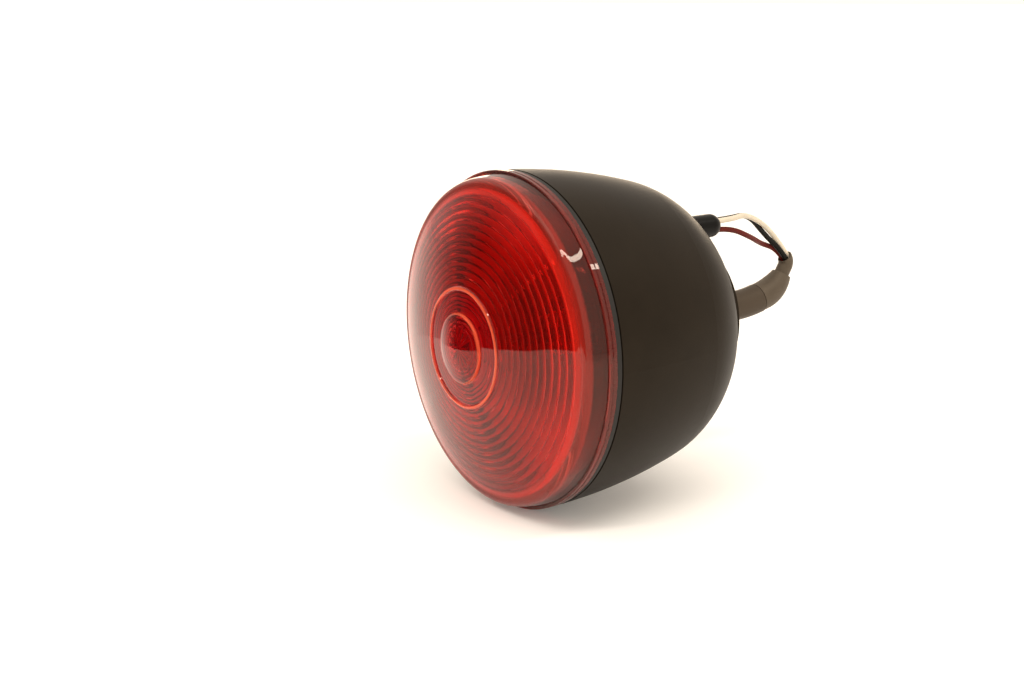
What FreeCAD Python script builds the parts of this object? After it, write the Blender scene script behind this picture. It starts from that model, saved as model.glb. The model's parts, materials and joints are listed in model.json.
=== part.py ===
import FreeCAD, Part
import math
import os
from types import SimpleNamespace

import Sketcher
from FreeCAD import Placement, Rotation, Vector

# Trailer stop, tail and turn lamp. Millimetres. The lamp's axis is Y: the lens faces -Y, the mounting
# pad faces +Y, and the origin is the middle of the pad's rear face, between its two inserts.

SIZES = {
    # lens
    "rim_radius": 57.0,            # widest radius, at the lens flange
    "rim_plane": -76.0,            # rear face of the lens flange
    "flange_thick": 3.0,
    "skirt_root_radius": 56.0,
    "skirt_edge_radius": 55.0,     # where the skirt turns into the face
    "face_edge_plane": -84.2,
    "face_radius": 52.4,           # where the rounded edge meets the dome
    "face_plane": -86.5,
    "edge_round": 2.6,
    "dome_radius": 121.2,          # of the sphere that the face is a cap of
    "dome_centre": 23.0,
    "jewel_radius": 19.8,          # raised outer ring round the jewel
    "jewel_ring_width": 1.2,
    "jewel_ring_rise": 0.6,
    "bullseye_radius": 11.6,
    "bullseye_step": 0.9,
    "bullseye_rise": 2.2,
    "bullseye_round": 32.0,
    "lens_wall": 2.6,
    "flute_radius": 2.0,
    "plug_skirt_radius": 53.8,     # the ring that enters the housing
    "plug_skirt_inner": 51.4,
    "plug_skirt_depth": 6.0,
    # gasket and housing
    "gasket_thick": 2.5,
    "gasket_radius": 56.7,
    "gasket_groove": 0.5,          # width and depth of the groove against the housing
    "gasket_inner": 54.3,
    "shell_front_radius": 56.8,
    "shell_mid_radius": 49.4,
    "shell_mid_plane": -29.5,
    "shell_rear_radius": 25.1,
    "shell_rear_plane": -4.0,
    "shell_side_round": 198.8,
    "shell_shoulder_round": 38.0,
    "wall": 2.6,
    "cavity_mid_radius": 46.9,
    "cavity_mid_plane": -28.78,
    "cavity_rear_radius": 24.67,
    "cavity_front_radius": 54.2,
    "pad_radius": 25.2,
    "lobe_radius": 7.0,
    "insert_spacing": 50.8,
    "insert_radius": 3.7,
    "insert_bore": 2.6,
    "insert_depth": 12.7,
    "insert_boss_depth": 18.0,
    "screw_offset": 20.0,
    "screw_boss_radius": 4.2,
    "screw_radius": 1.9,
    "screw_head_radius": 3.6,
    "screw_head_thick": 2.4,
    "screw_depth": 9.0,
    # rear spigot and its boot
    "spigot_height": -0.6,         # of the spigot's axis above the lamp's axis
    "spigot_radius": 5.3,
    "spigot_straight": 17.5,
    "spigot_bend": 45.0,
    "spigot_turn": 15.0,
    "spigot_neck_radius": 3.9,
    "spigot_bore": 3.0,
    "boot_radius": 5.15,
    "boot_collar": 2.4,
    "boot_gap": 0.35,              # open seam between the spigot's end and the boot
    "boot_bend": 15.0,
    "boot_turn": 45.0,
    "boot_middle_radius": 4.85,
    "boot_step_radius": 3.5,
    "boot_mouth_radius": 2.7,
    "boot_mouth_straight": 3.0,
    "boot_mouth_bend": 3.2,
    "boot_mouth_turn": 68.0,
    "boot_bore": 2.3,
    # parked plug
    "plug_across": 10.0,
    "plug_height": 32.4,
    "plug_dome_plane": -2.1,
    "plug_joint_plane": -15.0,
    "plug_nose_plane": -33.0,
    "plug_radius": 4.0,
    "plug_seal_radius": 4.1,
    "plug_rib": 0.8,
    "wire_seat": 0.4,
    "parking_bore": 4.5,
    "parking_floor": -34.0,
    "parking_boss_radius": 6.4,
    "parking_boss_front": -36.0,
    "terminal_radius": 0.9,
    "terminal_bore": 0.55,
    "terminal_length": 14.0,
    # wires
    "wire_radius": 0.95,
    "bundle_radius": 1.15,
    "lead_start": -28.6,
    # shock mount
    "plate_front": -21.2,
    "plate_thick": 1.2,
    "plate_radius": 26.0,
    "plate_hole": 11.5,
    "ring_inner": 8.5,
    "ring_outer": 12.6,
    "ring_groove": 11.4,
    "ring_front": -25.0,
    "ring_back": -16.0,
    # reflector
    "reflector_neck": 13.6,
    "reflector_wall": 1.0,
    "reflector_throat": -44.0,
    "reflector_mouth": 49.5,
    "reflector_mouth_plane": -68.0,
    "reflector_round": 46.0,
    # socket
    "socket_inner": 7.75,
    "socket_outer": 8.5,
    "socket_mouth": -47.0,
    "socket_back": -18.0,
    "socket_floor": 1.2,
    "socket_hole": 5.0,
    "slot_width": 2.6,
    "slot_swing": 20.0,
    "slot_margin": 10.0,
    "disc_radius": 7.5,
    "disc_front": -32.4,
    "disc_thick": 2.5,
    "button_radius": 1.7,
    "button_thick": 0.6,
    "button_offset": 3.3,
    "rivet_radius": 0.7,
    "rivet_length": 3.0,
    "spring_radius": 5.6,
    "spring_wire": 0.45,
    "spring_turns": 5.0,
    # bulb
    "base_radius": 7.6,
    "base_inner": 7.1,
    "base_mouth": -53.0,
    "base_bottom": -35.0,
    "pin_radius": 1.0,
    "pin_reach": 8.7,
    "near_pin_plane": -44.5,
    "far_pin_plane": -41.5,
    "bead_radius": 6.6,
    "bead_bottom": -33.8,
    "solder_radius": 1.5,
    "solder_bottom": -33.1,
    "neck_radius": 7.1,
    "neck_plane": -57.0,
    "globe_radius": 13.2,
    "globe_plane": -70.8,
    "glass_wall": 0.8,
    "stem_radius": 2.8,
    "stem_top": -62.0,
    "support_radius": 0.3,
    "support_spread": 3.0,
    "stop_filament_plane": -72.0,
    "tail_filament_plane": -67.5,
    "filament_radius": 0.5,
}

FLUTES = 12          # ring flutes behind the face
UP_Y = Rotation(Vector(1, 0, 0), -90)      # turns a primitive's +Z to +Y

doc = FreeCAD.newDocument("tail_light")
sheet = doc.addObject("Spreadsheet::Sheet", "Sizes")


class Size:
    """A length together with the expression that gives it."""

    def __init__(self, value, text):
        self.value = value
        self.text = text

    def __add__(self, other):
        other = as_size(other)
        return Size(self.value + other.value, f"({self.text} + {other.text})")

    def __sub__(self, other):
        other = as_size(other)
        return Size(self.value - other.value, f"({self.text} - {other.text})")

    def __mul__(self, factor):
        return Size(self.value * factor, f"({self.text} * {factor})")

    def __neg__(self):
        return Size(-self.value, f"(-{self.text})")


def as_size(number):
    return number if isinstance(number, Size) else Size(float(number), f"({number})")


def fill_sheet():
    for row, (alias, value) in enumerate(SIZES.items(), start=1):
        sheet.set(f"A{row}", alias)
        sheet.set(f"B{row}", str(value))
        sheet.setAlias(f"B{row}", alias)
    doc.recompute()
    return SimpleNamespace(**{alias: Size(float(sheet.get(alias)), f"Sizes.{alias}") for alias in SIZES})


s = fill_sheet()


# ---- helpers -------------------------------------------------------------------------------------

def bind(thing, name, size):
    """Give a property a number, or tie it to the sheet."""
    size = as_size(size)
    if "." not in name:
        setattr(thing, name, size.value)
    if "Sizes." in size.text:
        thing.setExpression(name, size.text)


def place(thing, x=0, y=0, z=0, turn=Rotation()):
    spot = [as_size(x), as_size(y), as_size(z)]
    thing.Placement = Placement(Vector(*[c.value for c in spot]), turn)
    for letter, c in zip("xyz", spot):
        bind(thing, f"Placement.Base.{letter}", c)
    return thing


def rod(name, radius, start, end, x=0, z=0, angle=360, turn_by=0):
    """A cylinder along the lamp's axis from y = start to y = end, or a sector of one."""
    thing = doc.addObject("Part::Cylinder", name)
    bind(thing, "Radius", radius)
    bind(thing, "Height", as_size(end) - start)
    bind(thing, "Angle", angle)
    return place(thing, x, start, z, UP_Y * Rotation(Vector(0, 0, 1), turn_by))


def fuse(name, things):
    thing = doc.addObject("Part::MultiFuse", name)
    thing.Shapes = things
    return thing


def cut(name, base, tool):
    thing = doc.addObject("Part::Cut", name)
    thing.Base = base
    thing.Tool = tool
    return thing


def common(name, base, tool):
    thing = doc.addObject("Part::Common", name)
    thing.Base = base
    thing.Tool = tool
    return thing


def origin_plane(body, role):
    return next(feature for feature in body.Origin.OriginFeatures if feature.Role == role)


def arc_between(start, end, radius, side):
    """The short arc from start to end whose centre lies to the left (side 1) or right (side -1)."""
    chord = end - start
    half = chord.Length / 2
    left = Vector(-chord.y, chord.x, 0).normalize()
    centre = (start + end) * 0.5 + left * side * math.sqrt(radius ** 2 - half ** 2)
    first, last = (start, end) if side > 0 else (end, start)
    a0 = math.atan2(first.y - centre.y, first.x - centre.x)
    a1 = math.atan2(last.y - centre.y, last.x - centre.x)
    if a1 < a0:
        a1 += 2 * math.pi
    return Part.ArcOfCircle(Part.Circle(centre, Vector(0, 0, 1), radius), a0, a1)


def outline(body, corners, arcs):
    """A closed, fully sized sketch. arcs maps a corner's index to (radius, side) of the run after it."""
    sketch = body.newObject("Sketcher::SketchObject", body.Name + "_outline")
    sketch.AttachmentSupport = [(origin_plane(body, "XY_Plane"), "")]
    sketch.MapMode = "FlatFace"
    corners = [(as_size(x), as_size(y)) for x, y in corners]
    spots = [Vector(x.value, y.value, 0) for x, y in corners]
    heads, tails = [], []
    for i, spot in enumerate(spots):
        following = spots[(i + 1) % len(spots)]
        if i in arcs:
            radius, side = arcs[i]
            index = sketch.addGeometry(arc_between(spot, following, radius.value, side), False)
            fix(sketch, Sketcher.Constraint("Radius", index, radius.value), radius)
            heads.append((index, 1 if side > 0 else 2))
            tails.append((index, 2 if side > 0 else 1))
        else:
            index = sketch.addGeometry(Part.LineSegment(spot, following), False)
            heads.append((index, 1))
            tails.append((index, 2))
    for i, (x, y) in enumerate(corners):
        sketch.addConstraint(Sketcher.Constraint("Coincident", *tails[i - 1], *heads[i]))
        for kind, size, axis in (("DistanceX", x, -2), ("DistanceY", y, -1)):
            if size.value == 0:
                sketch.addConstraint(Sketcher.Constraint("PointOnObject", *heads[i], axis))
            else:
                fix(sketch, Sketcher.Constraint(kind, -1, 1, *heads[i], size.value), size)
    return sketch


def fix(sketch, constraint, size):
    index = sketch.addConstraint(constraint)
    if "Sizes." in size.text:
        sketch.setExpression(f"Constraints[{index}]", size.text)


def turned(name, corners, arcs=None, x=0, z=0):
    """A body turned about the lamp's axis, or about a line beside it, from (radius, y) corners."""
    body = doc.addObject("PartDesign::Body", name)
    sketch = outline(body, corners, arcs or {})
    turning = body.newObject("PartDesign::Revolution", name + "_turning")
    turning.Profile = sketch
    turning.ReferenceAxis = (sketch, ["V_Axis"])
    turning.Angle = 360
    sketch.Visibility = False
    return place(body, x, 0, z)


# ---- lens, gasket and housing --------------------------------------------------------------------

def on_sphere(radius, sphere, centre):
    """The y of a dome's surface at a distance from the axis."""
    return centre - math.sqrt(sphere ** 2 - radius ** 2)


def make_lens():
    dome, centre = s.dome_radius, s.dome_centre
    inner = dome - s.lens_wall

    def outside(radius, rise=0.0):
        return as_size(on_sphere(radius.value, dome.value, centre.value) - rise)

    def inside(radius):
        return as_size(on_sphere(radius, inner.value, centre.value))

    ring_in = s.jewel_radius - s.jewel_ring_width * 0.5
    ring_out = s.jewel_radius + s.jewel_ring_width * 0.5
    bullseye = outside(s.bullseye_radius)
    corners = [
        (0, bullseye - s.bullseye_step - s.bullseye_rise),
        (s.bullseye_radius, bullseye - s.bullseye_step),
        (s.bullseye_radius, bullseye),
        (ring_in, outside(ring_in)),
        (ring_in, outside(ring_in, s.jewel_ring_rise.value)),
        (ring_out, outside(ring_out, s.jewel_ring_rise.value)),
        (ring_out, outside(ring_out)),
        (s.face_radius, s.face_plane),
        (s.skirt_edge_radius, s.face_edge_plane),
        (s.skirt_root_radius, s.rim_plane - s.flange_thick),
        (s.rim_radius, s.rim_plane - s.flange_thick),
        (s.rim_radius, s.rim_plane),
        (s.plug_skirt_radius, s.rim_plane),
        (s.plug_skirt_radius, s.rim_plane + s.plug_skirt_depth),
        (s.plug_skirt_inner, s.rim_plane + s.plug_skirt_depth),
    ]
    arcs = {0: (s.bullseye_round, 1), 2: (dome, 1), 6: (dome, 1), 7: (s.edge_round, 1)}
    first = len(corners)
    flute_edge = s.jewel_radius.value
    pitch = (s.plug_skirt_inner.value - flute_edge) / FLUTES
    for i in range(FLUTES + 1):
        radius = s.plug_skirt_inner.value - i * pitch
        corners.append((as_size(radius), inside(radius)))
        if i < FLUTES:
            arcs[first + i] = (s.flute_radius, -1)
    corners.append((as_size(0), inside(0)))
    arcs[first + FLUTES] = (inner, -1)
    return turned("lens", corners, arcs)


def make_gasket():
    back, groove = s.rim_plane + s.gasket_thick, s.gasket_groove
    return turned("lens_gasket", [
        (s.gasket_inner, s.rim_plane), (s.gasket_radius, s.rim_plane), (s.gasket_radius, back - groove),
        (s.gasket_radius - groove, back - groove), (s.gasket_radius - groove, back),
        (s.gasket_inner, back)])


def make_shell():
    """The bell-shaped wall, and the same bell filled in, which trims what stands inside it."""
    front = s.rim_plane + s.gasket_thick
    outer = [(s.shell_front_radius, front), (s.shell_mid_radius, s.shell_mid_plane),
             (s.shell_rear_radius, s.shell_rear_plane), (0, s.shell_rear_plane)]
    cavity_rear = s.shell_rear_plane - s.wall
    inner = [(0, cavity_rear), (s.cavity_rear_radius, cavity_rear),
             (s.cavity_mid_radius, s.cavity_mid_plane), (s.cavity_front_radius, front)]
    side, shoulder = s.shell_side_round, s.shell_shoulder_round
    wall = turned("shell_wall", outer + inner, {
        0: (side, 1), 1: (shoulder, 1),
        5: (shoulder - s.wall, -1), 6: (side - s.wall, -1)})
    filled = turned("shell_filled", outer + [(0, front)], {0: (side, 1), 1: (shoulder, 1)})
    return wall, filled


def make_pad():
    """Round pad with a lobe over and under it, each round one insert."""
    half = s.insert_spacing * 0.5
    parts = [rod("pad_disc", s.pad_radius, s.shell_rear_plane, 0)]
    for name, z in (("upper", half), ("lower", -half)):
        parts.append(rod(f"pad_lobe_{name}", s.lobe_radius, -s.insert_boss_depth, 0, z=z))
    web = doc.addObject("Part::Box", "pad_web")
    bind(web, "Length", s.lobe_radius * 2)
    bind(web, "Width", s.insert_boss_depth * 0.5)
    bind(web, "Height", s.insert_spacing)
    parts.append(place(web, -s.lobe_radius, -s.insert_boss_depth * 0.5, -half))
    return parts


def make_housing():
    wall, filled = make_shell()
    across, rear = s.screw_offset, s.shell_rear_plane
    boss_front = s.plate_front + s.plate_thick
    bosses = [rod(f"screw_boss_{i}", s.screw_boss_radius, boss_front, rear, x=x)
              for i, x in enumerate((across, -across))]
    bosses.append(rod("parking_boss", s.parking_boss_radius, s.parking_boss_front, 0,
                      x=s.plug_across, z=s.plug_height))
    inside = common("bosses_trimmed", filled, fuse("bosses", bosses))
    spigot = [run_solid("spigot_straight", rear_run("straight"), s.spigot_radius),
              run_solid("spigot_bend", rear_run("bend"), s.spigot_radius),
              run_solid("spigot_neck", rear_run("collar"), s.spigot_neck_radius)]
    blank = fuse("housing_blank", [wall, inside] + make_pad() + spigot)
    half = s.insert_spacing * 0.5
    holes = [rod("parking_hole", s.parking_bore, s.parking_floor, 10, x=s.plug_across, z=s.plug_height),
             rod("lead_hole", s.spigot_bore, rear - 10, 0.01, z=s.spigot_height)]
    holes += [run_solid(f"lead_hole_{name}", rear_run(name), s.spigot_bore)
              for name in ("straight", "bend", "collar")]
    holes += [rod(f"insert_hole_{i}", s.insert_radius, -s.insert_depth, 1, z=z)
              for i, z in enumerate((half, -half))]
    holes += [rod(f"screw_hole_{i}", s.screw_radius, boss_front - 1, boss_front + s.screw_depth, x=x)
              for i, x in enumerate((across, -across))]
    return cut("housing", blank, fuse("housing_holes", holes))


def make_inserts():
    half = s.insert_spacing * 0.5
    blanks = [rod(f"insert_blank_{i}", s.insert_radius, -s.insert_depth, 0, z=z)
              for i, z in enumerate((half, -half))]
    bores = [rod(f"insert_bore_{i}", s.insert_bore, -s.insert_depth - 1, 1, z=z)
             for i, z in enumerate((half, -half))]
    return cut("threaded_inserts", fuse("insert_blanks", blanks), fuse("insert_bores", bores))


# ---- rear boot and parked plug -------------------------------------------------------------------

def along(heading):
    turn = math.radians(heading)
    return Vector(0, math.cos(turn), math.sin(turn))


def inward(heading):
    """Towards the centre of a bend."""
    return along(heading + 90)


def rear_line():
    """The bent centre line that the spigot, boot and leads share: runs in the lamp's upright plane."""
    steps = [("straight", s.spigot_straight, None), ("bend", s.spigot_bend, s.spigot_turn),
             ("collar", s.boot_collar, None), ("elbow", s.boot_bend, s.boot_turn),
             ("mouth", s.boot_mouth_straight, None), ("lip", s.boot_mouth_bend, s.boot_mouth_turn)]
    spot, heading, runs = Vector(0, 0, s.spigot_height.value), 0.0, []
    for name, size, turn in steps:
        run = SimpleNamespace(name=name, start=spot, heading=heading, size=size, turn=turn)
        if turn is None:
            spot = spot + along(heading) * size.value
        else:
            run.hub = spot + inward(heading) * size.value
            heading += turn.value
            spot = run.hub - inward(heading) * size.value
        runs.append(run)
    return runs, spot, heading


def rear_run(name):
    return next(run for run in rear_line()[0] if run.name == name)


def lay_arc(thing, run):
    """Put a torus or circle, which starts along its own X, on a bend of the rear line."""
    upright = Rotation(Vector(0, 0, 1), Vector(1, 0, 0))
    thing.Placement = Placement(run.hub, Rotation(Vector(1, 0, 0), run.heading) * upright)


def run_solid(name, run, radius):
    """A round solid along one run of the rear line."""
    if run.turn is None:
        thing = doc.addObject("Part::Cylinder", name)
        bind(thing, "Radius", radius)
        bind(thing, "Height", run.size)
        thing.Placement = Placement(run.start, Rotation(Vector(0, 0, 1), along(run.heading)))
    else:
        thing = doc.addObject("Part::Torus", name)
        bind(thing, "Radius1", run.size)
        bind(thing, "Radius2", radius)
        bind(thing, "Angle3", run.turn)
        lay_arc(thing, run)
    return thing


def taper(name, run, radii):
    """A tapering bend: evenly spaced round sections swept along the bend."""
    spine = doc.addObject("Part::Circle", name + "_line")
    bind(spine, "Radius", run.size)
    bind(spine, "Angle2", run.turn)
    lay_arc(spine, run)
    sections = []
    for i, radius in enumerate(radii):
        heading = run.heading + run.turn.value * i / (len(radii) - 1)
        section = doc.addObject("Part::Circle", f"{name}_section_{i}")
        bind(section, "Radius", radius)
        spot = run.hub - inward(heading) * run.size.value
        section.Placement = Placement(spot, Rotation(Vector(0, 0, 1), along(heading)))
        sections.append(section)
    thing = doc.addObject("Part::Sweep", name)
    thing.Sections = sections
    thing.Spine = (spine, ["Edge1"])
    thing.Solid = True
    thing.Frenet = True
    return thing


def make_boot():
    collar, elbow, mouth, lip = (rear_run(name) for name in ("collar", "elbow", "mouth", "lip"))
    solid = fuse("boot_blank", [
        run_solid("boot_collar", collar, s.boot_radius),
        taper("boot_elbow", elbow, [s.boot_radius, s.boot_middle_radius, s.boot_step_radius]),
        run_solid("boot_mouth", mouth, s.boot_mouth_radius),
        run_solid("boot_lip", lip, s.boot_mouth_radius)])
    seam = SimpleNamespace(start=collar.start, heading=collar.heading, size=s.boot_gap, turn=None)
    bores = fuse("boot_bores", [run_solid("boot_seam", seam, s.boot_radius + 1),
                                run_solid("boot_seat", collar, s.spigot_neck_radius)]
                 + [run_solid(f"boot_bore_{run.name}", run, s.boot_bore) for run in (elbow, mouth, lip)])
    return cut("elbow_boot", solid, bores)


def plug_spots():
    """The three wires' places in the plug, as (x, z): white, black and red."""
    return {"white": (s.plug_across + 1.0, s.plug_height + 1.5),
            "black": (s.plug_across - 1.0, s.plug_height + 1.4),
            "red": (s.plug_across + 0.3, s.plug_height - 1.7)}


def make_plug():
    x, z = s.plug_across, s.plug_height
    corners = [(0, s.plug_joint_plane), (s.plug_seal_radius, s.plug_joint_plane)]
    for i in range(2):
        rib = s.plug_joint_plane + s.plug_rib * (1 + 2 * i)
        corners += [(s.plug_seal_radius, rib), (s.parking_bore, rib),
                    (s.parking_bore, rib + s.plug_rib), (s.plug_seal_radius, rib + s.plug_rib)]
    shoulder = len(corners)
    corners += [(s.plug_seal_radius, s.plug_dome_plane), (0, s.plug_dome_plane + s.plug_seal_radius)]
    dome = turned("seal_dome", corners, {shoulder: (s.plug_seal_radius, 1)}, x, z)
    seats = fuse("wire_seats", [rod(f"wire_seat_{name}", s.wire_radius, s.wire_seat, s.wire_seat + 5, px, pz)
                                for name, (px, pz) in plug_spots().items()])
    seal = cut("plug_seal", dome, seats)
    shell = rod("plug_shell", s.plug_radius, s.plug_nose_plane, s.plug_joint_plane, x, z)
    cavities, pins, bores = [], [], []
    back = s.plug_joint_plane - 3
    for name, (px, pz) in plug_spots().items():
        nose = s.plug_nose_plane
        cavities.append(rod(f"cavity_{name}", s.terminal_radius + 0.05, nose - 1, back, px, pz))
        pins.append(rod(f"terminal_{name}", s.terminal_radius, back - s.terminal_length, back, px, pz))
        bores.append(rod(f"terminal_bore_{name}", s.terminal_bore, nose - 1, back - 8, px, pz))
    body = cut("plug_body", shell, fuse("plug_cavities", cavities))
    terminals = cut("plug_terminals", fuse("terminal_rods", pins), fuse("terminal_bores", bores))
    return [seal, body, terminals]


# ---- wires ---------------------------------------------------------------------------------------

def sweep(name, edges, radius):
    """A round wire along edges that join smoothly."""
    path = Part.Wire(edges)
    first = path.Edges[0]
    start = first.valueAt(first.FirstParameter)
    section = Part.Wire([Part.Circle(start, first.tangentAt(first.FirstParameter), radius).toShape()])
    shape = path.makePipeShell([section], True, False)
    thing = doc.addObject("Part::Feature", name)
    thing.Shape = shape
    expected = math.pi * radius ** 2 * path.Length
    print(f"{name}: length {path.Length:.1f}, volume {shape.Volume:.1f} against {expected:.1f}")
    return thing


def cord_edges(name, points):
    """Straight runs between the points, with the largest arcs that the runs allow."""
    points = [Vector(p) for p in points]
    edges, here, radii = [], points[0], []
    for before, corner, after in zip(points, points[1:], points[2:]):
        to, away = corner - before, after - corner
        turn = to.getAngle(away)
        reach = 0.45 * min(to.Length, away.Length)
        radii.append(reach / math.tan(turn / 2))
        start = corner - to.normalize() * reach
        end = corner + away.normalize() * reach
        toward = (start + end) * 0.5 - corner
        sag = radii[-1] * (1 / math.cos(turn / 2) - 1)
        middle = corner + toward.normalize() * sag
        edges.append(Part.LineSegment(here, start).toShape())
        edges.append(Part.Arc(start, middle, end).toShape())
        here = end
    edges.append(Part.LineSegment(here, points[-1]).toShape())
    print(name, "arc radii", [round(r, 1) for r in radii])
    return edges


def bundle_spots():
    """Each wire's place in the bundle: offset across, and offset towards the bend's centre."""
    spread = s.bundle_radius.value
    return {"white": (0.0, -spread),
            "red": (-spread * math.cos(math.pi / 6), spread / 2),
            "black": (spread * math.cos(math.pi / 6), spread / 2)}


def make_leads():
    """The wires' inner ends: straight out of the socket, then round the bends of the rear line."""
    runs, spot, heading = rear_line()
    leads, mouths = [], {}
    for name, (across, lean) in bundle_spots().items():
        side = Vector(across, 0, 0)
        edges = []
        for run in runs:
            start = run.start + inward(run.heading) * lean + side
            if run.turn is None:
                if run.name == "straight":
                    start.y = s.lead_start.value
                end = run.start + along(run.heading) * run.size.value + inward(run.heading) * lean + side
                edges.append(Part.LineSegment(start, end).toShape())
            else:
                reach, turn = run.size.value - lean, run.turn.value
                middle, end = (run.hub + side - inward(run.heading + part) * reach
                               for part in (turn / 2, turn))
                edges.append(Part.Arc(start, middle, end).toShape())
        mouths[name] = spot + inward(heading) * lean + side
        leads.append(sweep(f"lead_{name}", edges, s.wire_radius.value))
    return leads, mouths, along(heading)


def make_wires(mouths, heading):
    """The free wires, from the boot's mouth over to the plug's seal."""
    first_run = {"white": 7.6, "black": 4.7, "red": 4.6}
    between = {"white": [(4.4, 27.1, 29.4), (9.4, 14.7, 34.6)],
               "black": [(1.0, 31.7, 23.6), (5.1, 19.4, 33.7)],
               "red": [(-0.5, 30.6, 20.8), (8.6, 18.7, 25.7)]}
    wires = []
    for name, (px, pz) in plug_spots().items():
        mouth, plug = mouths[name], Vector(px.value, s.wire_seat.value, pz.value)
        points = [mouth, mouth + heading * first_run[name]] + between[name] + [plug + Vector(0, 6.8, 0), plug]
        print(name, "route", [tuple(round(c, 2) for c in p) for p in points])
        wires.append(sweep(f"wire_{name}", cord_edges(name, points), s.wire_radius.value))
    return wires


# ---- shock mount, reflector and socket -----------------------------------------------------------

def screw_holes(name, front, back):
    return [rod(f"{name}_hole_{i}", s.screw_radius + 0.2, front, back, x=x)
            for i, x in enumerate((s.screw_offset, -s.screw_offset))]


def make_mount():
    front, back = s.plate_front, s.plate_front + s.plate_thick
    holes = [rod("plate_centre", s.plate_hole, front - 1, back + 1)]
    holes += screw_holes("plate", front - 1, back + 1)
    plate = cut("socket_plate", rod("plate_blank", s.plate_radius, front, back),
                fuse("plate_holes", holes))
    ring = turned("torsion_ring", [
        (s.ring_inner, s.ring_front), (s.ring_outer, s.ring_front), (s.ring_outer, front),
        (s.ring_groove, front), (s.ring_groove, back), (s.ring_outer, back),
        (s.ring_outer, s.ring_back), (s.ring_inner, s.ring_back)])
    head = front - s.reflector_wall
    screws = []
    for i, x in enumerate((s.screw_offset, -s.screw_offset)):
        shank_end = back + s.screw_depth
        screws.append(rod(f"screw_shank_{i}", s.screw_radius, head, shank_end, x=x))
        screws.append(rod(f"screw_head_{i}", s.screw_head_radius, head - s.screw_head_thick, head, x=x))
    return [plate, ring, fuse("socket_screws", screws)]


def make_reflector():
    back, skin = s.plate_front, s.reflector_wall
    neck, mouth = s.reflector_neck, s.reflector_mouth
    bowl = turned("reflector_bowl", [
        (neck, back), (neck, s.reflector_throat), (mouth, s.reflector_mouth_plane),
        (mouth + skin * 2, s.reflector_mouth_plane), (mouth + skin * 2, s.reflector_mouth_plane + skin),
        (mouth + skin, s.reflector_mouth_plane + skin),
        (neck + skin, s.reflector_throat + skin), (neck + skin, back - skin),
        (s.plate_radius, back - skin), (s.plate_radius, back)],
        {1: (s.reflector_round, -1), 5: (s.reflector_round + skin, 1)})
    return cut("reflector", bowl, fuse("reflector_holes", screw_holes("reflector", back - 2, back + 1)))


def make_socket():
    """Shell with two hooked slots, the sprung contact disc, its buttons and the spring."""
    cup = turned("socket_cup", [
        (s.socket_inner, s.socket_mouth), (s.socket_outer, s.socket_mouth),
        (s.socket_outer, s.socket_back), (s.socket_hole, s.socket_back),
        (s.socket_hole, s.socket_back - s.socket_floor), (s.socket_inner, s.socket_back - s.socket_floor)])
    half = s.slot_width * 0.5
    swing = s.slot_swing + s.slot_margin * 2
    slots = []
    for name, plane, side in (("near", s.near_pin_plane, 0), ("far", s.far_pin_plane, 180)):
        slots.append(rod(f"slot_{name}", s.socket_outer + 1, plane - half, plane + half,
                         angle=swing, turn_by=side - s.slot_margin.value))
        slots.append(rod(f"entry_{name}", s.socket_outer + 1, s.socket_mouth - 1, plane,
                         angle=s.slot_margin * 2, turn_by=side + s.slot_swing.value - s.slot_margin.value))
    shell = cut("socket_shell", cup, fuse("socket_slots", slots))

    disc_back = s.disc_front + s.disc_thick
    spots = (s.button_offset, -s.button_offset)
    rivet_holes = [rod(f"rivet_hole_{i}", s.rivet_radius + 0.05, s.disc_front - 1, disc_back + 1, x=x)
                   for i, x in enumerate(spots)]
    disc = cut("contact_disc", rod("disc_blank", s.disc_radius, s.disc_front, disc_back),
               fuse("rivet_holes", rivet_holes))
    buttons = []
    for i, x in enumerate(spots):
        buttons.append(rod(f"button_{i}", s.button_radius, s.disc_front - s.button_thick, s.disc_front, x=x))
        buttons.append(rod(f"rivet_{i}", s.rivet_radius, s.disc_front, s.disc_front + s.rivet_length, x=x))

    seat = s.socket_back - s.socket_floor
    room = seat - disc_back - s.spring_wire * 2
    coil = doc.addObject("Part::Helix", "spring_coil")
    bind(coil, "Radius", s.spring_radius)
    bind(coil, "Height", room)
    bind(coil, "Pitch", Size(room.value / s.spring_turns.value, f"({room.text} / Sizes.spring_turns)"))
    coil.SegmentLength = 1
    place(coil, 0, disc_back + s.spring_wire, 0, UP_Y)
    section = doc.addObject("Part::Circle", "spring_section")
    bind(section, "Radius", s.spring_wire)
    place(section, s.spring_radius, disc_back + s.spring_wire, 0)
    spring = doc.addObject("Part::Sweep", "contact_spring")
    spring.Sections = [section]
    spring.Spine = (coil, [f"Edge{i + 1}" for i in range(round(s.spring_turns.value))])
    spring.Solid = True
    spring.Frenet = True
    return [shell, disc, fuse("socket_contacts", buttons), spring]


# ---- bulb ----------------------------------------------------------------------------------------

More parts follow.
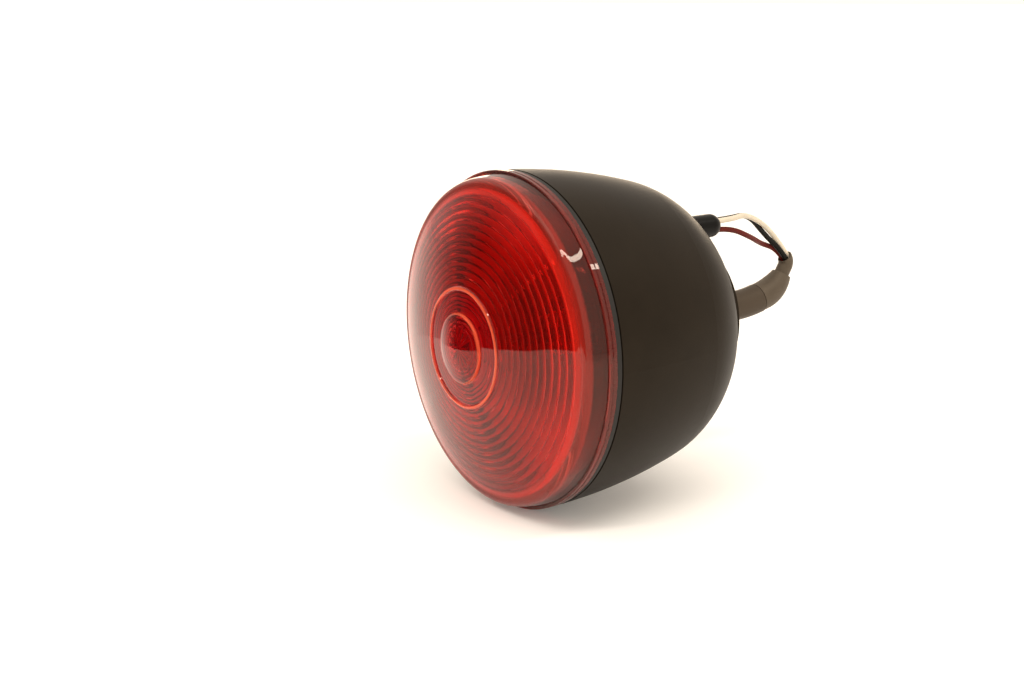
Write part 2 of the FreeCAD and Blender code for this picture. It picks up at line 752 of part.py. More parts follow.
def make_bulb():
    skin = s.glass_wall
    glass = turned("bulb_glass", [
        (0, s.globe_plane - s.globe_radius), (s.globe_radius, s.globe_plane),
        (s.neck_radius, s.neck_plane), (s.neck_radius, s.base_mouth + 6),
        (s.neck_radius - skin, s.base_mouth + 6), (s.neck_radius - skin, s.neck_plane - 0.4),
        (s.globe_radius - skin, s.globe_plane), (0, s.globe_plane - s.globe_radius + skin)],
        {0: (s.globe_radius, 1), 1: (as_size(19.0), 1),
         5: (as_size(18.2), -1), 6: (s.globe_radius - skin, -1)})
    cup = turned("base_cup", [
        (s.base_inner, s.base_mouth), (s.base_radius, s.base_mouth), (s.base_radius, s.base_bottom),
        (0, s.base_bottom), (0, s.base_bottom - 1), (s.base_inner, s.base_bottom - 1)])
    pins = []
    for name, plane, side in (("near", s.near_pin_plane, 1), ("far", s.far_pin_plane, -1)):
        pin = doc.addObject("Part::Cylinder", f"pin_{name}")
        bind(pin, "Radius", s.pin_radius)
        bind(pin, "Height", s.pin_reach - s.base_inner)
        pins.append(place(pin, s.base_inner * side, plane, 0, Rotation(Vector(0, 1, 0), 90 * side)))
    base = fuse("bulb_base", [cup] + pins)
    bead = rod("bulb_insulator", s.bead_radius, s.base_bottom, s.bead_bottom)
    spots = (s.button_offset, -s.button_offset)
    solder = fuse("bulb_contacts", [rod(f"solder_{i}", s.solder_radius, s.bead_bottom, s.solder_bottom, x=x)
                                    for i, x in enumerate(spots)])
    flare = s.base_mouth + 6
    stem_blank = turned("stem_blank", [
        (0, s.stem_top), (s.stem_radius * 0.8, s.stem_top), (s.stem_radius, s.base_mouth),
        (s.neck_radius - skin, flare - 1), (s.neck_radius - skin, flare), (0, flare)])
    supports = []
    for i, x in enumerate((s.support_spread, -s.support_spread)):
        for name, top, z in (("stop", s.stop_filament_plane, 1.2), ("tail", s.tail_filament_plane, -1.2)):
            supports.append(rod(f"support_{name}_{i}", s.support_radius, top, s.base_bottom - 1,
                                x=x * 0.45, z=z))
    supports = fuse("filament_supports", supports)
    stem = cut("bulb_stem", stem_blank, supports)
    filaments = []
    for name, plane, z in (("stop", s.stop_filament_plane, 1.2), ("tail", s.tail_filament_plane, -1.2)):
        filament = doc.addObject("Part::Cylinder", f"filament_{name}")
        bind(filament, "Radius", s.filament_radius)
        bind(filament, "Height", s.support_spread * 1.2)
        filaments.append(place(filament, s.support_spread * -0.6, plane - s.filament_radius, z,
                               Rotation(Vector(0, 1, 0), 90)))
    return [glass, base, bead, solder, stem, supports, fuse("filaments", filaments)]


# ---- the whole lamp ------------------------------------------------------------------------------

def check(thing):
    if any(state in thing.State for state in ("Invalid", "Error")):
        raise RuntimeError(f"{thing.Name} failed: {thing.State}")


def main():
    nodes = [make_lens(), make_gasket(), make_housing(), make_inserts(), make_boot(), make_reflector()]
    leads, mouths, heading = make_leads()
    nodes += leads + make_wires(mouths, heading)
    nodes += make_plug() + make_mount() + make_socket() + make_bulb()
    doc.recompute()
    for thing in doc.Objects:
        check(thing)
    os.makedirs("parts", exist_ok=True)
    for node in nodes:
        node.Label = node.Name
        shape = node.Shape
        if shape.isNull() or not shape.isValid():
            raise RuntimeError(f"{node.Label} has no valid shape")
        print(f"{node.Label}: {len(shape.Solids)} solids, {shape.Volume:.0f} mm3")
        shape.exportStep(f"parts/{node.Label}.step")


main()
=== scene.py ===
import json
import math

import bmesh
import bpy
from mathutils import Matrix, Vector


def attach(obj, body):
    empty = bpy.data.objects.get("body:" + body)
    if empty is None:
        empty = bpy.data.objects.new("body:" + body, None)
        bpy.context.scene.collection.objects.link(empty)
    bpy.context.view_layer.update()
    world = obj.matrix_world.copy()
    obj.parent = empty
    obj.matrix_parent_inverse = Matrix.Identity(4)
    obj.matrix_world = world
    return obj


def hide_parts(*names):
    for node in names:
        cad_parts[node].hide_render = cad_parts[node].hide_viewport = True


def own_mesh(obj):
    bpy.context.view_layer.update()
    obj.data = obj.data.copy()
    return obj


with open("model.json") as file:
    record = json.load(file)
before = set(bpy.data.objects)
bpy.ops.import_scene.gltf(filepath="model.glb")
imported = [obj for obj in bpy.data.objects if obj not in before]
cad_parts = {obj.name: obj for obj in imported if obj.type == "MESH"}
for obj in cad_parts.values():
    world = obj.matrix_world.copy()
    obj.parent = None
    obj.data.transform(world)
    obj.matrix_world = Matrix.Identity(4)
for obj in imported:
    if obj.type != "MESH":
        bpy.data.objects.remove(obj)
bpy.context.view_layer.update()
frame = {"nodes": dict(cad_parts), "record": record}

MM = 0.001
TAU = 2 * math.pi

# ---- camera --------------------------------------------------------------------------------------

RIGHT = Vector((0.5585, 0.8295, 0.0))
UP = Vector((-0.2005, 0.1350, 0.9703))
AHEAD = Vector((-0.8049, 0.5419, -0.2417))
AIM = Vector((0.0, -76.0, 0.0))              # middle of the lens flange
DISTANCE = 700.0                             # from camera to aim, in mm
ASIDE, ABOVE = 1.14, 0.42                    # where the aim lies off the middle of the view, in mm
SENSOR, FOCAL = 36.0, 73.67                  # sensor width and focal length, in mm
NEAR = 0.01                                  # nearest visible distance, in m


def make_camera():
    data = bpy.data.cameras.new("camera")
    data.sensor_width = SENSOR
    data.lens = FOCAL
    data.clip_start = NEAR
    camera = bpy.data.objects.new("camera", data)
    place = (AIM - RIGHT * ASIDE - UP * ABOVE - AHEAD * DISTANCE) * MM
    turn = Matrix((RIGHT, UP, -AHEAD)).transposed().to_4x4()
    camera.matrix_world = Matrix.Translation(place) @ turn
    bpy.context.scene.collection.objects.link(camera)
    bpy.context.scene.camera = camera


# ---- materials -----------------------------------------------------------------------------------

WIDEST = 57.5                                # radius in mm at which a ramp by radius ends
NOISE_ROUGHNESS = 0.6
MIX_FACTOR, MIX_FIRST, MIX_SECOND, MIX_RESULT = 0, 6, 7, 2     # colour sockets of a Mix node


class Nodes:
    """A short way to build a node tree."""

    def __init__(self, name):
        self.material = bpy.data.materials.new(name)
        self.material.use_nodes = True
        self.tree = self.material.node_tree
        self.shader = self.tree.nodes["Principled BSDF"]

    def add(self, kind, **settings):
        node = self.tree.nodes.new(kind)
        for name, value in settings.items():
            if hasattr(node, name):
                setattr(node, name, value)
            else:
                node.inputs[name.replace("_", " ")].default_value = value
        return node

    def link(self, source, target):
        self.tree.links.new(source, target)

    def set(self, **settings):
        for name, value in settings.items():
            self.shader.inputs[name.replace("_", " ")].default_value = value

    def place(self):
        return self.add("ShaderNodeTexCoord").outputs["Object"]

    def noise(self, scale, detail):
        node = self.add("ShaderNodeTexNoise")
        node.inputs["Scale"].default_value = scale
        node.inputs["Detail"].default_value = detail
        node.inputs["Roughness"].default_value = NOISE_ROUGHNESS
        self.link(self.place(), node.inputs["Vector"])
        return node.outputs["Fac"]

    def ramp(self, fac, stops):
        node = self.add("ShaderNodeValToRGB")
        elements = node.color_ramp.elements
        elements[0].position, elements[1].position = stops[0][0], stops[-1][0]
        for spot, _ in stops[1:-1]:
            elements.new(spot)
        for element, (_, colour) in zip(elements, stops):
            element.color = (*colour, 1.0)
        self.link(fac, node.inputs["Fac"])
        return node.outputs["Color"]

    def radius(self):
        """Distance from the lamp's axis as a part of the widest radius."""
        flat = self.add("ShaderNodeVectorMath")
        flat.operation = "MULTIPLY"
        flat.inputs[1].default_value = (1.0, 0.0, 1.0)
        self.link(self.place(), flat.inputs[0])
        reach = self.add("ShaderNodeVectorMath")
        reach.operation = "LENGTH"
        self.link(flat.outputs["Vector"], reach.inputs[0])
        part = self.add("ShaderNodeMath")
        part.operation = "DIVIDE"
        part.inputs[1].default_value = WIDEST * MM
        self.link(reach.outputs["Value"], part.inputs[0])
        return part.outputs["Value"]

    def behind(self, start, end):
        """0 in front of start and 1 behind end, in mm along the lamp's axis."""
        split = self.add("ShaderNodeSeparateXYZ")
        self.link(self.place(), split.inputs["Vector"])
        part = self.add("ShaderNodeMapRange")
        part.inputs["From Min"].default_value = start * MM
        part.inputs["From Max"].default_value = end * MM
        self.link(split.outputs["Y"], part.inputs["Value"])
        return part.outputs["Result"]

    def mix(self, part, first, second, kind="MIX"):
        """Blends two colours. Each of the three may be a value or an output to link."""
        node = self.add("ShaderNodeMix")
        node.data_type = "RGBA"
        node.blend_type = kind
        for source, socket in ((part, MIX_FACTOR), (first, MIX_FIRST), (second, MIX_SECOND)):
            target = node.inputs[socket]
            if isinstance(source, tuple):
                target.default_value = (*source, 1.0)
            elif isinstance(source, float):
                target.default_value = source
            else:
                self.link(source, target)
        return node.outputs[MIX_RESULT]

    def bump(self, height, distance, strength):
        node = self.add("ShaderNodeBump")
        node.inputs["Strength"].default_value = strength
        node.inputs["Distance"].default_value = distance
        self.link(height, node.inputs["Height"])
        return node.outputs["Normal"]

    def span(self, fac, low, high):
        """Spreads a factor of 0 to 1 over low to high."""
        node = self.add("ShaderNodeMapRange")
        node.inputs["To Min"].default_value = low
        node.inputs["To Max"].default_value = high
        self.link(fac, node.inputs["Value"])
        return node.outputs["Result"]


def shade(colour, factor):
    return tuple(min(1.0, c * factor) for c in colour)


def moulded(name, colour, rough, grain=900.0, depth=0.03, blotch=60.0, rear=None, **settings):
    """Moulded plastic or rubber: fine grain in relief, depth in mm, and faint blotches in colour and
    polish. A rear colour, when given, is painted light on what stands out of the mounting pad."""
    contrast, smoother, rougher, relief = 0.18, 0.88, 1.12, 0.6
    pad_start, pad_end = 0.2, 1.2            # in mm behind the pad's face
    n = Nodes(name)
    fine, broad = n.noise(grain, 4.0), n.noise(blotch, 3.0)
    tint = n.ramp(broad, [(0.3, shade(colour, 1 - contrast)), (0.7, shade(colour, 1 + contrast))])
    # painted light: what stands out behind the pad gets a lighter colour for light falling on it from
    # above
    if rear:
        tint = n.mix(n.behind(pad_start, pad_end), tint, rear)
    n.link(tint, n.shader.inputs["Base Color"])
    polish = n.span(broad, rough * smoother, min(1.0, rough * rougher))
    n.link(polish, n.shader.inputs["Roughness"])
    n.link(n.bump(fine, depth * MM, relief), n.shader.inputs["Normal"])
    n.set(**settings)
    return n.material


def metal(name, colour, rough, grain=400.0, rings=False, painted_shade=None):
    """Metal with faint tarnish, and turning marks if it has rings. A dish may get painted shade, a
    darker middle: full out to one radius, gone at another, both in mm, and how bright it is left."""
    depth, relief, detail = 0.01, 0.5, 4.0
    contrast, lighter_part, smoother, rougher = 0.12, 0.6, 0.75, 1.3
    tarnish_scale, ring_scale, ring_distortion = 90.0, 900.0, 1.5
    n = Nodes(name)
    marks = n.noise(grain, detail)
    tarnish = n.noise(tarnish_scale, detail)
    stops = [(0.25, shade(colour, 1 - contrast)), (0.75, shade(colour, 1 + contrast * lighter_part))]
    tint = n.ramp(tarnish, stops)
    # painted shade: the base colour darkens towards the middle of the dish
    if painted_shade:
        inner, outer, left = painted_shade
        cover = n.ramp(n.radius(), zones((inner, left), (outer, 1.0)))
        tint = n.mix(1.0, tint, cover, "MULTIPLY")
    n.link(tint, n.shader.inputs["Base Color"])
    n.link(n.span(marks, rough * smoother, rough * rougher), n.shader.inputs["Roughness"])
    if rings:
        wave = n.add("ShaderNodeTexWave")
        wave.wave_type = "RINGS"
        wave.rings_direction = "Y"
        wave.inputs["Scale"].default_value = ring_scale
        wave.inputs["Distortion"].default_value = ring_distortion
        n.link(n.place(), wave.inputs["Vector"])
        marks = wave.outputs["Fac"]
    n.link(n.bump(marks, depth * MM, relief), n.shader.inputs["Normal"])
    n.set(Metallic=1.0)
    return n.material


def insulation(name, colour, rough, **settings):
    """Extruded wire covering: a soft sheen with a faint ripple."""
    contrast, smoother, rougher = 0.08, 0.85, 1.15
    depth, relief, detail = 0.012, 0.5, 2.0
    ripple_scale, blotch_scale = 1400.0, 160.0
    n = Nodes(name)
    ripple, broad = n.noise(ripple_scale, detail), n.noise(blotch_scale, detail)
    stops = [(0.3, shade(colour, 1 - contrast)), (0.7, shade(colour, 1 + contrast))]
    n.link(n.ramp(broad, stops), n.shader.inputs["Base Color"])
    n.link(n.span(broad, rough * smoother, rough * rougher), n.shader.inputs["Roughness"])
    n.link(n.bump(ripple, depth * MM, relief), n.shader.inputs["Normal"])
    n.set(Subsurface_Weight=0.05, Subsurface_Scale=0.001, **settings)
    return n.material


def zones(*marks):
    """Ramp stops from marks of a radius in mm and a colour or a plain value."""
    return [(radius / WIDEST, value if isinstance(value, tuple) else (value, value, value))
            for radius, value in marks]


def clear_red(name):
    """Tinted acrylic: its colour and how clear it is go by radius, once for the face and once for the
    side behind it. The bright lines along the jewel's rim and on the raised ring, and the bright band
    just inside the face's rounded edge, are painted glow."""
    face_end, side_start = -84.3, -83.5
    # line is a painted highlight; outer and band paint a glow that rises towards the face's edge
    deep, plain, line = (0.56, 0.007, 0.012), (0.55, 0.012, 0.008), (1.0, 0.15, 0.06)
    outer, rounding = (0.90, 0.020, 0.013), (0.62, 0.045, 0.030)
    band, skirt, flange = (0.95, 0.035, 0.020), (0.30, 0.035, 0.024), (0.42, 0.050, 0.040)
    # jewel_rim, ring_top and band_clear make the painted highlight and glow partly diffuse colour
    clear, jewel_rim, ring_top, band_clear, rounding_clear = 0.93, 0.6, 0.55, 0.72, 0.76
    skirt_clear, flange_clear = 0.92, 0.82
    ripple_scale, ripple_detail, ripple_depth, ripple_relief = 120.0, 2.0, 0.02, 0.15
    n = Nodes(name)
    radius, behind = n.radius(), n.behind(face_end, side_start)
    face = zones((0, deep), (11.1, deep), (11.4, line), (11.8, line), (12.1, deep), (19.1, deep),
                 (19.4, line), (20.2, line), (20.5, plain), (36.0, plain), (46.0, outer),
                 (49.2, outer), (50.2, band), (51.4, band), (52.4, rounding), (54.0, rounding))
    side = zones((0, skirt), (56.1, skirt), (56.6, flange), (57.0, flange))
    face_clear = zones((0, clear), (11.2, clear), (11.4, jewel_rim), (11.8, jewel_rim),
                       (12.0, clear), (19.2, clear), (19.4, ring_top), (20.2, ring_top),
                       (20.4, clear), (49.2, clear), (50.2, band_clear), (51.4, band_clear),
                       (52.4, rounding_clear))
    side_clear = zones((0, skirt_clear), (56.1, skirt_clear), (56.6, flange_clear),
                       (57.0, flange_clear))
    looks = ((face, side, "Base Color"), (face_clear, side_clear, "Transmission Weight"))
    for front, rear, target in looks:
        n.link(n.mix(behind, n.ramp(radius, front), n.ramp(radius, rear)), n.shader.inputs[target])
    n.set(IOR=1.42, Roughness=0.025, Specular_Tint=(1.0, 0.88, 0.78, 1.0))
    ripple = n.noise(ripple_scale, ripple_detail)
    n.link(n.bump(ripple, ripple_depth * MM, ripple_relief), n.shader.inputs["Normal"])
    return n.material


def clear_glass(name):
    """Clear glass with a faint waviness."""
    ripple_scale, ripple_detail, ripple_depth, ripple_relief = 90.0, 2.0, 0.02, 0.1
    n = Nodes(name)
    n.set(Base_Color=(0.97, 0.985, 0.98, 1.0), Transmission_Weight=1.0, IOR=1.5, Roughness=0.0)
    ripple = n.noise(ripple_scale, ripple_detail)
    n.link(n.bump(ripple, ripple_depth * MM, ripple_relief), n.shader.inputs["Normal"])
    return n.material


LOOKS = {}


def make_looks():
    housing, sheen = (0.0125, 0.0090, 0.0058), (1.0, 0.85, 0.65, 1.0)
    LOOKS.update({
        "lens_red": clear_red("lens_red"),
        "gasket_rubber": moulded("gasket_rubber", (0.011, 0.0095, 0.0075), 0.55, grain=1500.0,
                                 depth=0.02, Specular_IOR_Level=0.3),
        # the housing's rear colour paints light onto the spigot behind the mounting pad
        "housing_black": moulded("housing_black", housing, 0.42, grain=1100.0, depth=0.035,
                                 blotch=35.0, rear=(0.070, 0.054, 0.040), Specular_IOR_Level=0.085,
                                 Specular_Tint=sheen),
        "boot_rubber": moulded("boot_rubber", (0.075, 0.058, 0.042), 0.55, grain=1400.0, depth=0.03,
                               Specular_IOR_Level=0.4, Specular_Tint=sheen),
        "plug_rubber": moulded("plug_rubber", (0.003, 0.0026, 0.002), 0.28, grain=600.0, depth=0.02,
                               Specular_IOR_Level=0.13),
        "plug_plastic": moulded("plug_plastic", (0.015, 0.015, 0.015), 0.45),
        "brass": metal("brass", (0.62, 0.42, 0.16), 0.28, rings=True),
        "wire_white": insulation("wire_white", (0.62, 0.55, 0.43), 0.4),
        "wire_red": insulation("wire_red", (0.10, 0.010, 0.006), 0.5, Specular_IOR_Level=0.1),
        "wire_black": insulation("wire_black", (0.006, 0.006, 0.004), 0.45, Specular_IOR_Level=0.1),
        "zinc_steel": metal("zinc_steel", (0.40, 0.39, 0.37), 0.36),
        "mount_rubber": moulded("mount_rubber", (0.014, 0.014, 0.014), 0.6),
        # the reflector gets painted shade: darker inside 40 mm, down to 0.12 of its colour inside 24
        # mm
        "reflector_metal": metal("reflector_metal", (0.88, 0.87, 0.85), 0.4, grain=200.0, rings=True,
                                 painted_shade=(24.0, 40.0, 0.12)),
        "spring_steel": metal("spring_steel", (0.46, 0.45, 0.43), 0.25),
        "contact_board": moulded("contact_board", (0.15, 0.05, 0.02), 0.45),
        "bulb_clear": clear_glass("bulb_clear"),
        "bead_glass": moulded("bead_glass", (0.010, 0.010, 0.016), 0.12),
        "solder": metal("solder", (0.62, 0.62, 0.60), 0.3),
        "filament_metal": metal("filament_metal", (0.35, 0.34, 0.34), 0.35),
    })


# ---- mesh helpers --------------------------------------------------------------------------------

ON_AXIS = 1e-6                               # a radius below this, in mm, is a point on the axis


def add_mesh(name, verts, faces, look, sharp):
    """A smooth-shaded mesh whose edges stay sharp above an angle in degrees."""
    mesh = bpy.data.meshes.new(name)
    mesh.from_pydata(verts, [], faces)
    work = bmesh.new()
    work.from_mesh(mesh)
    bmesh.ops.recalc_face_normals(work, faces=work.faces)
    work.to_mesh(mesh)
    work.free()
    mesh.shade_smooth()
    mesh.set_sharp_from_angle(angle=math.radians(sharp))
    mesh.materials.append(LOOKS[look])
    piece = bpy.data.objects.new(name, mesh)
    bpy.context.scene.collection.objects.link(piece)
    return piece


def turned(name, outline, look, around, relief, sharp):
    """Turns a closed (radius, y) outline in mm about the lamp's axis in so many steps around.
    relief(radius, y, angle) says how far a point moves along the axis."""
    verts, rings = [], []
    for radius, y in outline:
        if radius < ON_AXIS:
            rings.append([len(verts)])
            verts.append((0.0, y * MM, 0.0))
            continue
        ring = []
        for i in range(around):
            angle = TAU * i / around
            lift = relief(radius, y, angle)
            ring.append(len(verts))
            verts.append((radius * math.cos(angle) * MM, (y + lift) * MM,
                          radius * math.sin(angle) * MM))
        rings.append(ring)
    faces = []
    for here, there in zip(rings, rings[1:] + rings[:1]):
        if len(here) == 1 and len(there) == 1:
            continue
        for i in range(around):
            j = (i + 1) % around
            if len(here) == 1:
                faces.append((here[0], there[j], there[i]))
            elif len(there) == 1:
                faces.append((here[i], here[j], there[0]))
            else:
                faces.append((here[i], here[j], there[j], there[i]))
    return add_mesh(name, verts, faces, look, sharp)


def arc(start, end, radius, side, steps):
    """Points after start up to end on an arc whose centre lies left (1) or right (-1) of the way."""
    x0, y0 = start
    x1, y1 = end
    dx, dy = x1 - x0, y1 - y0
    chord = math.hypot(dx, dy)
    rise = math.sqrt(max(radius ** 2 - chord ** 2 / 4, 0.0)) * side
    cx, cy = (x0 + x1) / 2 - dy / chord * rise, (y0 + y1) / 2 + dx / chord * rise
    a0 = math.atan2(y0 - cy, x0 - cx)
    turn = math.atan2(y1 - cy, x1 - cx) - a0
    turn = (turn + math.pi) % TAU - math.pi
    angles = [a0 + turn * i / steps for i in range(1, steps + 1)]
    return [(cx + radius * math.cos(angle), cy + radius * math.sin(angle)) for angle in angles]


def dome(radius, sphere, centre):
    """Where a dome of the sphere radius stands along the axis, at a radius from it."""
    return centre - math.sqrt(sphere ** 2 - radius ** 2)


# ---- lens ----------------------------------------------------------------------------------------

DOME, CENTRE = 121.2, 23.0                   # sphere radius of the lens's face and its centre's y
WALL = 2.6                                   # thickness of the lens's face
INSIDE = DOME - WALL                         # sphere radius of the inner face
AROUND = 256                                 # steps of the lens round the axis
LENS_SHARP = 28.0                            # angle in degrees above which its edges stay sharp
JEWEL_STEP = 11.7                            # radius of the jewel's step
RING_IN, RING_OUT = 19.0, 20.6               # radii between which the raised ring lies
FACE_EDGE = 52.2                             # radius at which the rounded edge starts
SKIRT_BORE, SKIRT_END = 51.4, -70.0          # inner radius and rear plane of the plug-in skirt
FACETS_OUT = 8.0                             # radius out to which the jewel has prisms


def lens_front():
    """The outer outline as (radius, y) points in mm, from the middle of the jewel to the back of the
    plug-in skirt."""
    def face(radius, rise=0.0):
        return (radius, dome(radius, DOME, CENTRE) - rise)

    middle = face(11.6)[1] - 0.9
    line = [(0.0, middle - 2.2)]
    line += arc(line[-1], (11.3, middle), 32.0, 1, 14)
    line += [(11.6, middle + 0.25), (JEWEL_STEP, face(JEWEL_STEP)[1])]
    steps = 10
    line += [face(JEWEL_STEP + (RING_IN - JEWEL_STEP) * i / steps) for i in range(1, steps + 1)]
    line += [face(19.3, 0.45), face(19.6, 0.58), face(20.0, 0.58), face(20.3, 0.45),
             face(RING_OUT)]
    steps = 24
    line += [face(RING_OUT + (FACE_EDGE - RING_OUT) * i / steps) for i in range(1, steps + 1)]
    line += arc(line[-1], (55.0, -84.2), 2.7, 1, 8)
    line += arc(line[-1], (56.0, -79.3), 60.0, -1, 4)
    line += [(56.1, -79.05), (56.7, -79.0), (57.0, -78.8), (57.0, -77.9), (56.75, -77.7),
             (56.75, -77.4), (57.0, -77.2), (57.0, -76.0), (53.8, -76.0), (53.8, -70.2),
             (53.6, SKIRT_END)]
    return line


def ripples(outer, inner, count, depth, lift=0.0):
    """Ring flutes on the inner dome, from the outer radius in: rounded ridges that meet in V
    grooves."""
    points, steps = [], 10
    for i in range(count * steps + 1):
        radius = outer + (inner - outer) * i / (count * steps)
        wave = 1 - abs(math.sin(math.pi * i / steps))
        points.append((radius, dome(radius, INSIDE, CENTRE) + lift - depth * wave))
    return points


def lens_back():
    """The inner outline, from the skirt to the middle: ring flutes, finer rings in the jewel."""
    line = [(51.6, SKIRT_END), (SKIRT_BORE, -70.2)]
    line.append((SKIRT_BORE, dome(SKIRT_BORE, INSIDE, CENTRE) + 0.6))
    line += ripples(51.2, RING_OUT, 12, 0.42)
    line += ripples(19.4, 12.6, 5, 0.16, lift=0.2)
    line += ripples(11.4, 5.4, 4, 0.16, lift=-0.3)
    end, steps, fall = line[-1], 8, 0.9
    line += [(end[0] * (1 - i / steps), end[1] - fall * (i / steps) ** 1.2) for i in range(1, steps)]
    line.append((0.0, end[1] - fall))
    return line


def jewel_facets(radius, y, angle):
    """Radial prisms on the back of the jewel, fading out at the middle and at their outer radius."""
    prisms, height, fade_in, fade_out = 16, 0.18, 4.0, 1.5
    skin = 2.4                               # what lies further forward is the outer face
    behind = dome(radius, INSIDE, CENTRE)
    if radius > FACETS_OUT or y < behind - skin:
        return 0.0
    wedge = abs((angle * prisms / TAU) % 1.0 - 0.5) * 2
    return -height * wedge * min(1.0, radius / fade_in, (FACETS_OUT - radius) / fade_out)


def make_lens():
    outline = lens_front() + lens_back()
    lens = turned("lens_clear", outline, "lens_red", AROUND, jewel_facets, LENS_SHARP)
    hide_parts("lens")
    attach(lens, "lens")


# ---- wires and spring ----------------------------------------------------------------------------

# control points of each wire in mm, from the boot's mouth to the plug
ROUTES = {
    "white": [(0.0, 42.73, 15.42), (0.0, 38.05, 21.41), (4.4, 27.1, 29.4), (9.4, 14.7, 34.6),
              (11.0, 7.2, 33.9), (11.0, 0.4, 33.9)],
    "black": [(1.0, 41.37, 14.36), (1.0, 38.48, 18.06), (1.0, 31.7, 23.6), (5.1, 19.4, 33.7),
              (9.0, 7.2, 33.8), (9.0, 0.4, 33.8)],
    "red": [(-1.0, 41.37, 14.36), (-1.0, 38.54, 17.98), (-0.5, 30.6, 20.8), (8.6, 18.7, 25.7),
            (10.3, 7.2, 30.7), (10.3, 0.4, 30.7)],
}
WIRE = 1.9                                   # diameter
SPRING_SHARP = 35.0                          # angle in degrees above which its edges stay sharp


def make_wires():
    for colour, route in ROUTES.items():
        curve = bpy.data.curves.new(f"cord_{colour}", "CURVE")
        curve.dimensions = "3D"
        curve.bevel_depth = WIRE / 2 * MM
        curve.bevel_resolution = 6
        curve.resolution_u = 24
        spline = curve.splines.new("NURBS")
        spline.points.add(len(route) - 1)
        for point, spot in zip(spline.points, route):
            point.co = (*(c * MM for c in spot), 1.0)
        spline.order_u = 3
        spline.use_endpoint_u = True
        curve.materials.append(LOOKS[f"wire_{colour}"])
        cord = bpy.data.objects.new(f"cord_{colour}", curve)
        bpy.context.scene.collection.objects.link(cord)
        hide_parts(f"wire_{colour}")
        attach(cord, "root")


def make_spring():
    """The contact spring, built as a fixed coil of wire."""
    front, back, radius, wire, turns = -29.9, -19.2, 5.6, 0.45, 5
    around, steps = 12, 160
    verts, faces = [], []
    start, travel = front + wire, back - front - 2 * wire
    for i in range(steps + 1):
        part = i / steps
        angle = TAU * turns * part
        ahead = Vector((-math.sin(angle) * radius, travel / (TAU * turns), math.cos(angle) * radius))
        ahead.normalize()
        out = Vector((math.cos(angle), 0.0, math.sin(angle)))
        side = ahead.cross(out)
        spot = out * radius + Vector((0.0, start + travel * part, 0.0))
        for j in range(around):
            roll = TAU * j / around
            verts.append((spot + (out * math.cos(roll) + side * math.sin(roll)) * wire) * MM)
    for i in range(steps):
        for j in range(around):
            k = (j + 1) % around
            a, b = i * around, (i + 1) * around
            faces.append((a + j, a + k, b + k, b + j))
    faces.append(tuple(range(around)))
    faces.append(tuple(steps * around + j for j in range(around)))
    spring = add_mesh("contact_coil", verts, faces, "spring_steel", SPRING_SHARP)
    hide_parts("contact_spring")
    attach(spring, "root")
    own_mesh(spring)


# ---- the CAD nodes that stay ---------------------------------------------------------------------

def dress_nodes():
    """Gives every carried-over CAD node its finish."""
    for entry in frame["record"]["subparts"]:
        node = frame["nodes"][entry["node"]]
        look = LOOKS[entry["material_slot"]]
        for place in node.material_slots:
            place.link = "OBJECT"
            place.material = look


# ---- floor and light -----------------------------------------------------------------------------

FLOOR = -57.25                               # height of the floor, in mm
FLOOR_REACH = 6.0                            # from the middle to an edge of the floor, in m
CARD_CENTRE = -95.0                          # y of the point that the card is placed round, in mm
CARD_LEFT = (-95, -50)                       # turns in degrees over which the card fades in
CARD_TOP = (46, 18)                          # rises in degrees over which it does, from the top down
CARD_FOOT = [(-95, 245), (-80, 250), (-65, 255), (-50, 262), (-36, 273), (-27, 301), (-18, 333),
             (-11, 405), (-3, 464), (10, 520), (35, 560)]     # (turn in degrees, reach in mm)
CARD_RISES = [-60, -10, 0, 6, 12, 18, 24, 30, 36, 42, 48]    # in degrees above the axis


def make_floor():
    mesh = bpy.data.meshes.new("floor")
    size, z = FLOOR_REACH, FLOOR * MM
    mesh.from_pydata([(-size, -size, z), (size, -size, z), (size, size, z), (-size, size, z)], [],
                     [(0, 1, 2, 3)])
    n = Nodes("floor_paper")
    stops = [(0.3, (0.945, 0.925, 0.895)), (0.7, (0.955, 0.94, 0.915))]
    n.link(n.ramp(n.noise(8.0, 4.0), stops), n.shader.inputs["Base Color"])
    n.set(Roughness=0.8, Emission_Color=(1.0, 0.96, 0.90, 1.0), Emission_Strength=0.12)
    mesh.materials.append(n.material)
    floor = bpy.data.objects.new("floor", mesh)
    bpy.context.scene.collection.objects.link(floor)


def smooth(value, start, end):
    """0 at start and 1 at end, easing in and out."""
    part = min(1.0, max(0.0, (value - start) / (end - start)))
    return part * part * (3 - 2 * part)


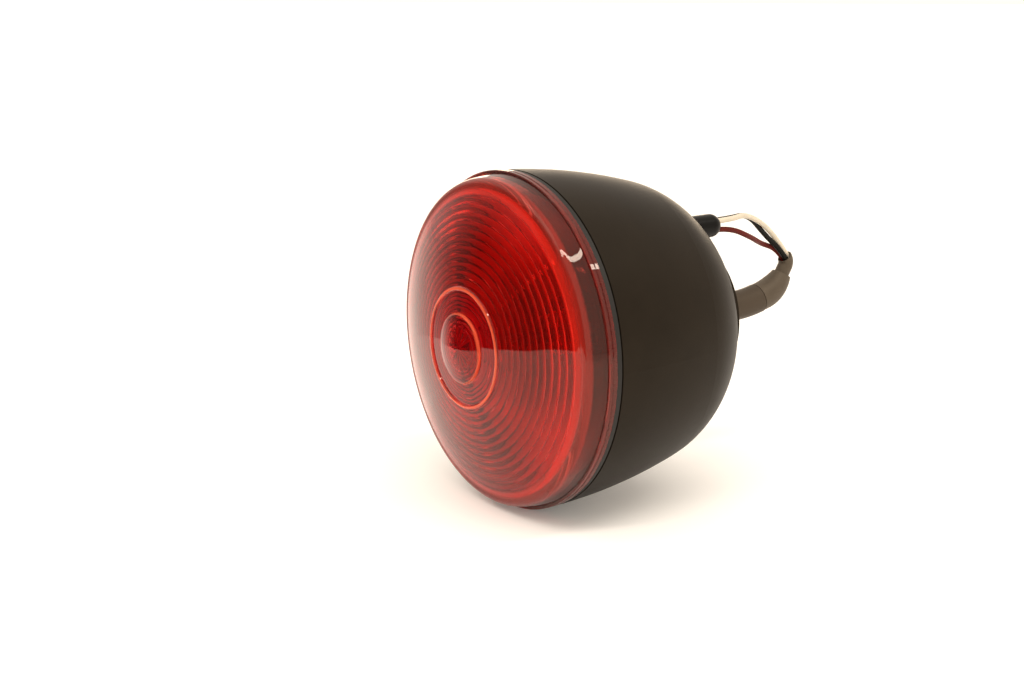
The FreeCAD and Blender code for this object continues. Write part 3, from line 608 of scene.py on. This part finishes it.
def make_card():
    """A curved dark card in front of the lens that only reflections see. It stands on the floor and
    thins out towards its left and its top. Its places go by turn, rise and reach from a point on the
    axis just behind the lens's face."""
    verts, cover = [], []
    for turn, reach in CARD_FOOT:
        side = math.radians(turn)
        for rise in CARD_RISES:
            z = max(FLOOR, reach * math.tan(math.radians(rise)))
            y = CARD_CENTRE - reach * math.cos(side)
            verts.append((reach * math.sin(side) * MM, y * MM, z * MM))
            cover.append(smooth(turn, *CARD_LEFT) * smooth(rise, *CARD_TOP))
    across = len(CARD_RISES)
    faces = [(i * across + j, (i + 1) * across + j, (i + 1) * across + j + 1, i * across + j + 1)
             for i in range(len(verts) // across - 1) for j in range(across - 1)]
    mesh = bpy.data.meshes.new("card_front")
    mesh.from_pydata(verts, [], faces)
    layer = mesh.attributes.new("cover", "FLOAT", "POINT")
    layer.data.foreach_set("value", cover)
    n = Nodes("card_front")
    n.set(Base_Color=(0.008, 0.006, 0.005, 1.0), Roughness=0.9)
    cover_node = n.add("ShaderNodeAttribute", attribute_name="cover")
    n.link(cover_node.outputs["Fac"], n.shader.inputs["Alpha"])
    mesh.materials.append(n.material)
    card = bpy.data.objects.new("card_front", mesh)
    card.visible_camera = False
    card.visible_shadow = False
    card.visible_transmission = False
    card.visible_diffuse = False
    bpy.context.scene.collection.objects.link(card)


STRIPS = [                                   # name, start, end, width in m, power in W, colour
    ("strip_over", (0.63, 0.72, 0.90), (0.23, -1.05, 0.90), 0.07, 7.5, (1.0, 0.94, 0.86)),
    ("strip_rear", (-2.2, 0.3, 0.17), (-1.0, 1.9, 0.17), 0.40, 9.0, (1.0, 0.78, 0.54)),
    ("box_front", (-0.60, -0.75, 0.95), (0.20, -0.75, 0.95), 0.55, 1.6, (1.0, 0.93, 0.84)),
]
LAMP_MIDDLE = (0.0, -0.05, 0.0)              # what the strips face, in m
WORLD_COLOUR, WORLD_STRENGTH = (1.0, 0.90, 0.79, 1.0), 1.12


def make_strip(name, start, end, width, power, colour):
    """A strip light between two places in m, turned to face the lamp."""
    start, end = Vector(start), Vector(end)
    data = bpy.data.lights.new(name, "AREA")
    data.shape = "RECTANGLE"
    data.size, data.size_y = (end - start).length, width
    data.energy = power
    data.color = colour
    strip = bpy.data.objects.new(name, data)
    middle, along = (start + end) / 2, (end - start).normalized()
    away = middle - Vector(LAMP_MIDDLE)
    away = (away - along * away.dot(along)).normalized()
    turn = Matrix((along, away.cross(along), away)).transposed().to_4x4()
    strip.matrix_world = Matrix.Translation(middle) @ turn
    bpy.context.scene.collection.objects.link(strip)


def make_light():
    world = bpy.data.worlds.new("studio")
    world.use_nodes = True
    backdrop = world.node_tree.nodes["Background"]
    backdrop.inputs["Color"].default_value = WORLD_COLOUR
    backdrop.inputs["Strength"].default_value = WORLD_STRENGTH
    bpy.context.scene.world = world
    for strip in STRIPS:
        make_strip(*strip)
    make_card()


def main():
    bpy.context.scene.view_settings.view_transform = "Standard"
    make_camera()
    make_looks()
    dress_nodes()
    make_wires()
    make_lens()
    make_spring()
    make_floor()
    make_light()


main()
